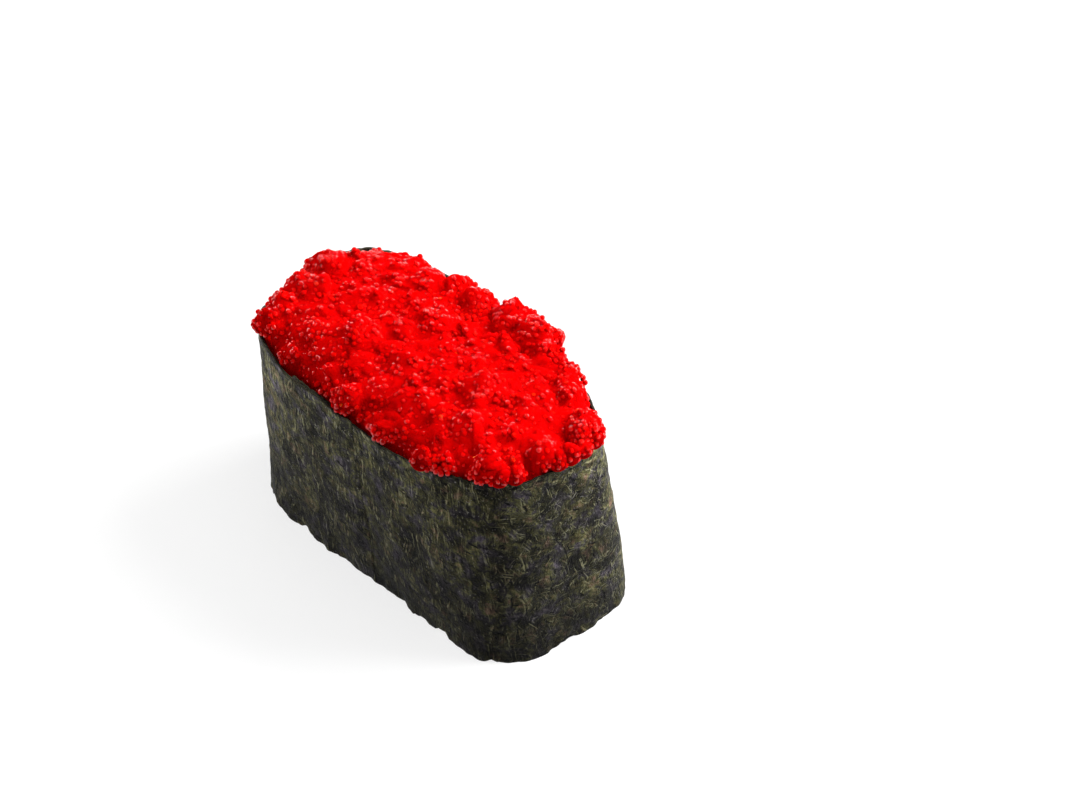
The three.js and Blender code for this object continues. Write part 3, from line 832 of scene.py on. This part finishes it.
def fits_nori(points, radius):
    """Whether eggs keep clear of the nori: inside the wall, or over its rim."""
    x, y, z = points.T
    steps = np.arange(STEPS, dtype=float)
    inset = lap_inset(steps) + NORI_THICKNESS + BUCKLE + EGG_GAP + radius
    wall_x, wall_y, _ = inset_point(angle_at(steps), EGG_WALL_HEIGHT, inset).T
    wall_x, wall_y = wall_x - RIM["x"], wall_y - RIM["y"]
    angles, reaches = sorted_turn(np.arctan2(wall_y, wall_x), np.hypot(wall_x, wall_y))
    x, y = x - RIM["x"], y - RIM["y"]
    inside = np.hypot(x, y) < np.interp(np.arctan2(y, x), angles, reaches)
    over = z > BAND_HEIGHT + RIM_WAVE + radius * RIM_REST
    return inside | over


def sorted_turn(angle, value):
    """The values of one turn in order of their angles, with the ends repeated past both sides."""
    order = np.argsort(angle)
    angle, value = angle[order], value[order]
    turn = 2 * math.pi
    angle = np.concatenate([angle[-1:] - turn, angle, angle[:1] + turn])
    return angle, np.concatenate([value[-1:], value, value[:1]])


def egg_places(lumps):
    """Centres of eggs in a shell below the heap's surface, the outermost settled first."""
    random = np.random.RandomState(71)
    radius = sum(EGG_RADIUS) / 2
    low = np.array([-FIELD[0], -FIELD[1], EGG_LOW])
    high = np.array([FIELD[0], FIELD[1], EGG_HIGH])
    found = []
    for _ in range(EGG_BATCHES):
        batch = random.uniform(low, high, (EGG_TRIES, 3))
        batch = batch[share_of(RIM, batch[:, 0], batch[:, 1]) < EGG_FIELD]
        batch = batch[heap_height(lumps, batch[:, 0], batch[:, 1]) > batch[:, 2] - EGG_RADIUS[1]]
        depth = heap_depth(lumps, batch)
        is_loose = random.uniform(0, 1, len(batch)) < LOOSE_SHARE
        least = np.where(is_loose, SUNK_LOOSE, SUNK_INTO) * radius
        good = (depth > least) & (depth < SHELL_DEPTH) & fits_nori(batch, radius)
        found.append(np.column_stack([batch[good], depth[good]]))
    found = np.concatenate(found)
    order = np.argsort(found[:, 3] + random.uniform(0, EGG_SHUFFLE, len(found)), kind="stable")
    return settle(found[order], EGG_SPACING)


def settle(candidates, spacing):
    """Keeps each candidate that is at least `spacing` from all that were kept before it."""
    grid = {}
    kept = []
    cells = np.floor(candidates[:, :3] / spacing).astype(int).tolist()
    nearest = spacing * spacing
    around = [(i, j, k) for i in (-1, 0, 1) for j in (-1, 0, 1) for k in (-1, 0, 1)]
    for (i, j, k), row in zip(cells, candidates.tolist()):
        x, y, z = row[:3]
        others = (egg for di, dj, dk in around for egg in grid.get((i + di, j + dj, k + dk), ()))
        if all((egg[0] - x) ** 2 + (egg[1] - y) ** 2 + (egg[2] - z) ** 2 >= nearest for egg in others):
            grid.setdefault((i, j, k), []).append(row)
            kept.append(row)
    return np.array(kept)


class SmoothHeap:
    """The heap's surface with its lumps smoothed: heights, and the directions that stand off it."""

    def __init__(self, lumps, blur):
        self.low = np.array([-FIELD[0], -FIELD[1]])
        counts = (2 * np.array(FIELD) / HEAP_CELL).astype(int)
        x, y = (self.low[i] + HEAP_CELL * np.arange(counts[i]) for i in (0, 1))
        height = np.maximum(heap_height(lumps, *np.meshgrid(x, y, indexing="ij")), HEAP_LEAST)
        reach = int(3 * blur / HEAP_CELL)
        weight = np.exp(-0.5 * (np.arange(-reach, reach + 1) * HEAP_CELL / blur) ** 2)
        weight /= weight.sum()

        def blurred(row):
            return np.convolve(np.pad(row, reach, "edge"), weight, "valid")

        for axis in (0, 1):
            height = np.apply_along_axis(blurred, axis, height)
        slope = np.gradient(height, HEAP_CELL)
        self.height = height
        self.normals = np.stack([-slope[0], -slope[1], np.ones_like(height)], -1)

    def between(self, values, x, y):
        """Values of the grid at points of the plan, straight between its corners."""
        place = (np.stack([x, y], -1) - self.low) / HEAP_CELL
        corner = np.clip(np.floor(place).astype(int), 0, np.array(values.shape[:2]) - 2)
        share = np.clip(place - corner, 0, 1)
        i, j = corner.T
        a, b = share.T.reshape((2, -1) + (1,) * (values.ndim - 2))
        low = values[i, j] * (1 - a) + values[i + 1, j] * a
        high = values[i, j + 1] * (1 - a) + values[i + 1, j + 1] * a
        return low * (1 - b) + high * b

    def height_at(self, x, y):
        return self.between(self.height, x, y)

    def normal_at(self, x, y):
        normal = self.between(self.normals, x, y)
        return normal / np.linalg.norm(normal, axis=1, keepdims=True)


def eggs_piece(name, centres, random):
    """One ball for each centre, each a little out of round, with its own tone."""
    ball, ball_faces = unit_ball(EGG_DETAIL)
    count = len(centres)
    radius = random.uniform(*EGG_RADIUS, count)
    stretch = random.uniform(*EGG_STRETCH, (count, 1, 3)) * radius[:, None, None]
    shape = np.einsum("nij,nvj->nvi", turned(random, count), ball[None] * stretch)
    points = (shape + kneaded(centres)[:, None, :]).reshape(-1, 3)
    faces = (ball_faces[None] + (np.arange(count) * len(ball))[:, None, None]).reshape(-1, 3)
    piece = piece_from(name, points, faces.tolist())
    x, y, _ = centres.T
    point_values(piece, "tone", np.repeat(random.uniform(0, 1, count), len(ball)))
    wet = np.clip(random.uniform(*WET_CHANCE, count) + WET_CREST * crest_share(x, y), 0, 1)
    point_values(piece, "wet", np.repeat(wet, len(ball)))
    # The painted shade near the rim, for each egg.
    point_values(piece, "sunk", np.repeat(rim_shade_share(x, y), len(ball)))
    own = np.tile(ball, (count, 1))
    shared = np.repeat(soft.normal_at(x, y), len(ball), axis=0)
    point_vectors(piece, "heap_normal", OWN_SHADE * own + (1 - OWN_SHADE) * shared)
    return piece


def crest_share(x, y):
    """How far a place stands out of the heap round it, from hollows at 0 to crests at 1."""
    patch = crest_patches(STEPS * (x + FIELD[0]) / (2 * FIELD[0]), y + FIELD[1])
    end = np.clip((CREST["end_from"] - x) / CREST["end_over"], 0, 1)
    out = mass.height_at(x, y) - broad.height_at(x, y)
    crest = CREST["share"] + CREST["height"] * out + CREST["patches"] * patch + CREST["end"] * end
    return np.clip(crest, 0, 1)


def rim_shade_share(x, y):
    """How much painted shade the roe gets: how far the heap's surface has come down towards the rim, where
    little light gets in.
    """
    return np.clip((BAND_HEIGHT + RIM_SHADE_BELOW - mass.height_at(x, y)) / RIM_SHADE_REACH, 0, 1)


def jelly_body(lumps):
    """The mass that the eggs sit in, which follows the heap's surface a little below it, down to the rice."""
    wall = inner_ring(JELLY_WALL, count=JELLY_COLUMNS)
    middle = np.array([RIM["x"], RIM["y"]])
    rings = [inner_ring(z, -CLEARANCE, JELLY_COLUMNS) for z in (ROE_BOTTOM, JELLY_SIDE)]
    for share in np.linspace(1, 0, JELLY_RINGS + 1)[:-1]:
        flat = middle + (wall[:, :2] - middle) * share
        x, y = flat.T
        height = mass.height_at(x, y) - JELLY_DEPTH[0] - (JELLY_DEPTH[1] - JELLY_DEPTH[0]) * crest_share(x, y)
        heap = heap_height(lumps, x, y)
        rings.append(np.column_stack([flat, np.clip(height, heap - JELLY_MOST, heap - JELLY_LEAST)]))
    return roe_mass("roe_jelly", *prism(rings))


def jelly_lumps(lumps):
    """The mass inside the lumps that hang out over the rim."""
    ball, ball_faces = unit_ball(DROP_DETAIL)
    points, faces = [], []
    for number, (x, y, z, radius) in enumerate(lumps):
        spilt = len(LUMPS) <= number < len(LUMPS) + len(SPILLS)
        is_high = z > BAND_HEIGHT + OVER_RIM and radius > HOLLOW_RADIUS
        if spilt or is_high and depth_of(RIM, x, y) < radius:
            inside = ball * (radius - DROP_DEPTH) + (x, y, z)
            if not spilt:
                inside[:, 2] = np.maximum(inside[:, 2], BAND_HEIGHT + OVER_RIM)
            faces += (ball_faces + len(points) * len(ball)).tolist()
            points.append(inside)
    return roe_mass("roe_lumps", np.concatenate(points), faces)


def kneaded(points):
    """The heap's points pushed about a little, so that its lumps aren't round. What lies low stays."""
    noise.seed_set(KNEAD_SEED)
    free = np.clip((points[:, 2] - BAND_HEIGHT - KNEAD_ABOVE) / KNEAD_FADE, 0, 1)[:, None]
    push = np.zeros(points.shape)
    for most, size in KNEADING:
        push += most * np.array([noise.noise_vector(Vector(point) / size) for point in points])
    return points + free * push


def roe_mass(name, points, faces):
    """A piece of the mass, with what its material needs to know at each vertex."""
    piece = piece_from(name, kneaded(points), faces)
    # The painted shade near the rim.
    point_values(piece, "sunk", rim_shade_share(points[:, 0], points[:, 1]))
    point_vectors(piece, "heap_normal", soft.normal_at(points[:, 0], points[:, 1]))
    return piece


# ---- Stage, in metres and degrees ----

VIEW_AZIMUTH, VIEW_ELEVATION = 49, 41
VIEW_DISTANCE = 0.7
PIXELS_PER_MM = 8.0  # at the origin
IMAGE_WIDTH, IMAGE_HEIGHT = 1080, 790
ORIGIN_PIXEL = (445.4, 527.4)
SENSOR = 36.0  # in millimetres
CLIP_START = 0.01

FLOOR_REACH = 3.0
WORLD_STRENGTH = 0.06
AIM_HEIGHT = 0.02
# The first three only give glints, and the others only light.
LIGHTS = dict(
    backdrop=dict(azimuth=229, elevation=20, distance=1.0, size=(3.0, 0.26), radiance=9.5, diffuse=False),
    backdrop_left=dict(azimuth=299, elevation=20, distance=1.0, size=(1.3, 0.2), radiance=3.2, diffuse=False),
    backdrop_right=dict(azimuth=159, elevation=20, distance=1.0, size=(1.3, 0.2), radiance=3.2, diffuse=False),
    sky=dict(azimuth=229, elevation=89, distance=1.2, size=(3.0, 3.0), radiance=0.16, glossy=False),
    top=dict(azimuth=100, elevation=74, distance=0.9, size=(0.6, 0.6), radiance=1.8, glossy=False),
    key=dict(azimuth=156, elevation=42, distance=0.8, size=(0.5, 0.5), radiance=10.7, glossy=False),
    left=dict(azimuth=305, elevation=12, distance=0.8, size=(0.4, 0.4), radiance=4.4, glossy=False),
    right=dict(azimuth=146, elevation=16, distance=0.8, size=(0.4, 0.4), radiance=8.5, glossy=False),
)


def direction(azimuth, elevation):
    """From the piece to a place round it. Azimuth 0 is at -Y, and 90 at +X."""
    a, e = math.radians(azimuth), math.radians(elevation)
    return Vector((math.sin(a) * math.cos(e), -math.cos(a) * math.cos(e), math.sin(e)))


def camera():
    back = direction(VIEW_AZIMUTH, VIEW_ELEVATION)
    right = direction(VIEW_AZIMUTH + 90, 0)
    up = back.cross(right)
    data = bpy.data.cameras.new("camera")
    data.sensor_width = SENSOR
    data.lens = SENSOR * PIXELS_PER_MM * VIEW_DISTANCE / MM / IMAGE_WIDTH
    data.clip_start = CLIP_START
    aim = right * (IMAGE_WIDTH / 2 - ORIGIN_PIXEL[0]) + up * (ORIGIN_PIXEL[1] - IMAGE_HEIGHT / 2)
    obj = bpy.data.objects.new("camera", data)
    turn = Matrix((right, up, back)).transposed().to_4x4()
    obj.matrix_world = Matrix.Translation(aim * MM / PIXELS_PER_MM + back * VIEW_DISTANCE) @ turn
    bpy.context.scene.collection.objects.link(obj)
    bpy.context.scene.camera = obj


def area_light(name, azimuth, elevation, distance, size, radiance, glossy=True, diffuse=True):
    """A soft light aimed at the piece."""
    back = direction(azimuth, elevation)
    data = bpy.data.lights.new(name, "AREA")
    data.shape = "RECTANGLE"
    data.size, data.size_y = size
    data.energy = 4 * size[0] * size[1] * radiance
    obj = bpy.data.objects.new(name, data)
    obj.visible_camera, obj.visible_glossy, obj.visible_diffuse = False, glossy, diffuse
    obj.location = Vector((0, 0, AIM_HEIGHT)) + back * distance
    obj.rotation_euler = back.to_track_quat("Z", "Y").to_euler()
    bpy.context.scene.collection.objects.link(obj)


def stage():
    floor = bpy.data.meshes.new("floor")
    corners = [(FLOOR_REACH * x, FLOOR_REACH * y, 0) for x, y in ((-1, -1), (1, -1), (1, 1), (-1, 1))]
    floor.from_pydata(corners, [], [(0, 1, 2, 3)])
    obj = bpy.data.objects.new("floor", floor)
    bpy.context.scene.collection.objects.link(obj)
    floor.materials.append(floor_material())
    world = bpy.data.worlds.new("world")
    world.use_nodes = True
    background = world.node_tree.nodes["Background"].inputs
    background["Color"].default_value = (1, 1, 1, 1)
    background["Strength"].default_value = WORLD_STRENGTH
    bpy.context.scene.world = world
    bpy.context.scene.view_settings.view_transform = "Standard"
    for name, light in LIGHTS.items():
        area_light(name, **light)


# ---- The piece ----

lumps = heap_lumps()
egg_rows = egg_places(lumps)
soft = SmoothHeap(lumps, 0.8)  # for the shade
mass = SmoothHeap(lumps, 0.4)  # for the mass between the eggs
broad = SmoothHeap(lumps, 1.6)  # against which crests stand out
crest_patches = relief(*CREST_CELLS, 2 * FIELD[1])

nori = nori_strip()
nori.data.materials.append(nori_material())

rice_parts = [rice_core(), rice_grains()]
for part in rice_parts:
    part.data.materials.append(rice_material())

random = np.random.RandomState(81)
is_outer = egg_rows[:, 3] < OUTER_DEPTH
outer = eggs_piece("roe_eggs_outer", egg_rows[is_outer, :3], random)
inner = eggs_piece("roe_eggs_inner", egg_rows[~is_outer, :3], random)
outer.data.materials.append(egg_material("roe_red"))
inner.data.materials.append(egg_material("roe_deep"))
jelly = jelly_body(lumps)
over_rim = jelly_lumps(lumps)
for piece in (jelly, over_rim):
    piece.data.materials.append(jelly_material())

for part, node, slot in (
    (nori, "nori", "nori"),
    (rice_parts[0], "rice", "rice"),
    (rice_parts[1], "rice", "rice"),
    (outer, "roe", "roe"),
    (inner, "roe", "roe"),
    (jelly, "roe", "roe"),
    (over_rim, "roe", "roe"),
):
    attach(part, "root")
    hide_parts(node)

stage()
camera()
